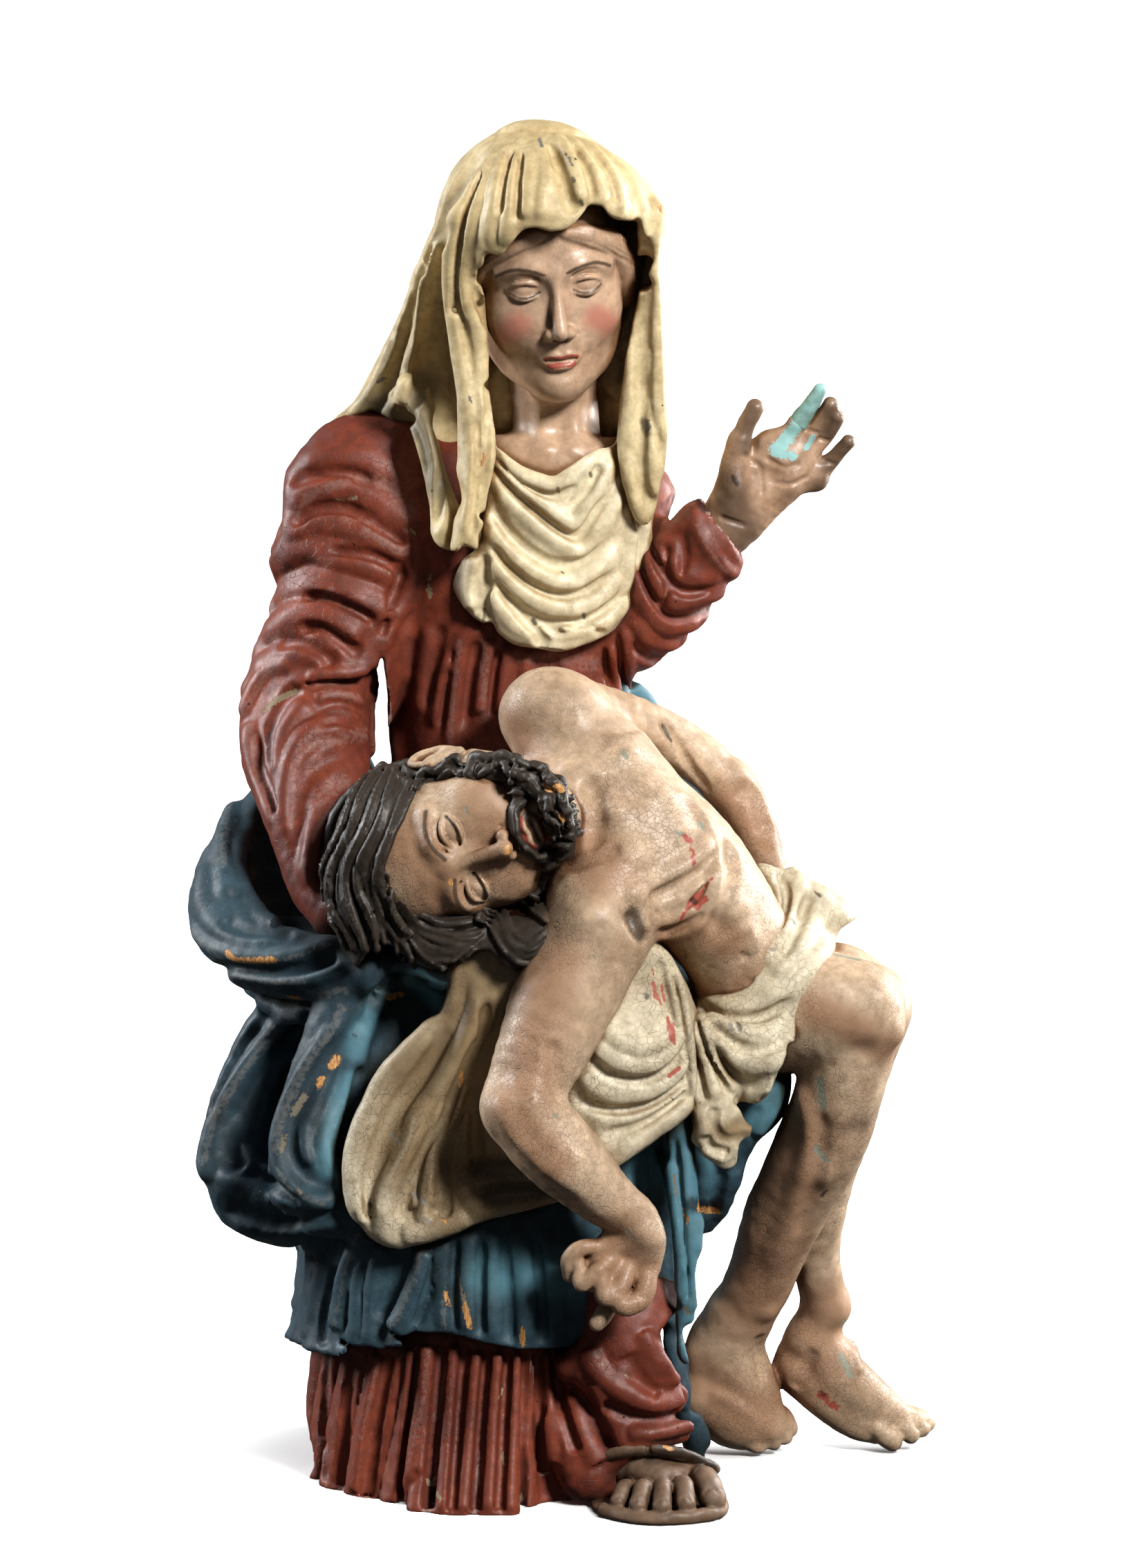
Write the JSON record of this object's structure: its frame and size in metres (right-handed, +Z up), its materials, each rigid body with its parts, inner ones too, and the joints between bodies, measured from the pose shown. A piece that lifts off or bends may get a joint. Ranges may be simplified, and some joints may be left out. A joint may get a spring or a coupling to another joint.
{
  "type": "pieta statue",
  "caption": "Carved and painted wooden pieta: a veiled mother seated with her dead son across her knees, one hand raised.",
  "frame": {"origin": "on the floor plane under the middle of the whole group, at the centre of its bounding box seen from above", "axes": "+Z up, the group's front towards -Y, +X to the viewer's right"},
  "size_m": [0.526, 0.37, 0.9509],
  "materials": {
    "painted_wood": "old oil paint on gesso over carved wood, worn on the ridges",
    "cream_paint": "aged cream-yellow paint, satin, dirt in the folds",
    "red_paint": "brick-red paint, satin to glossy, pale wear on the ridges",
    "blue_paint": "dark greenish-blue paint, satin, pale and brown wear on the edges",
    "linen_paint": "off-white paint with fine cracks and a few red drops",
    "flesh_paint": "glossy flesh paint with craquelure",
    "hair_paint": "dark brown paint, satin",
    "brown_flesh": "darkened flesh paint, satin",
    "blue_filler": "pale blue-green repair filler, matte"
  },
  "bodies": {
    "root": {"pieta_group": "painted_wood", "raised_hand": "brown_flesh", "repaired_fingertip": "blue_filler"}
  },
  "joints": []
}
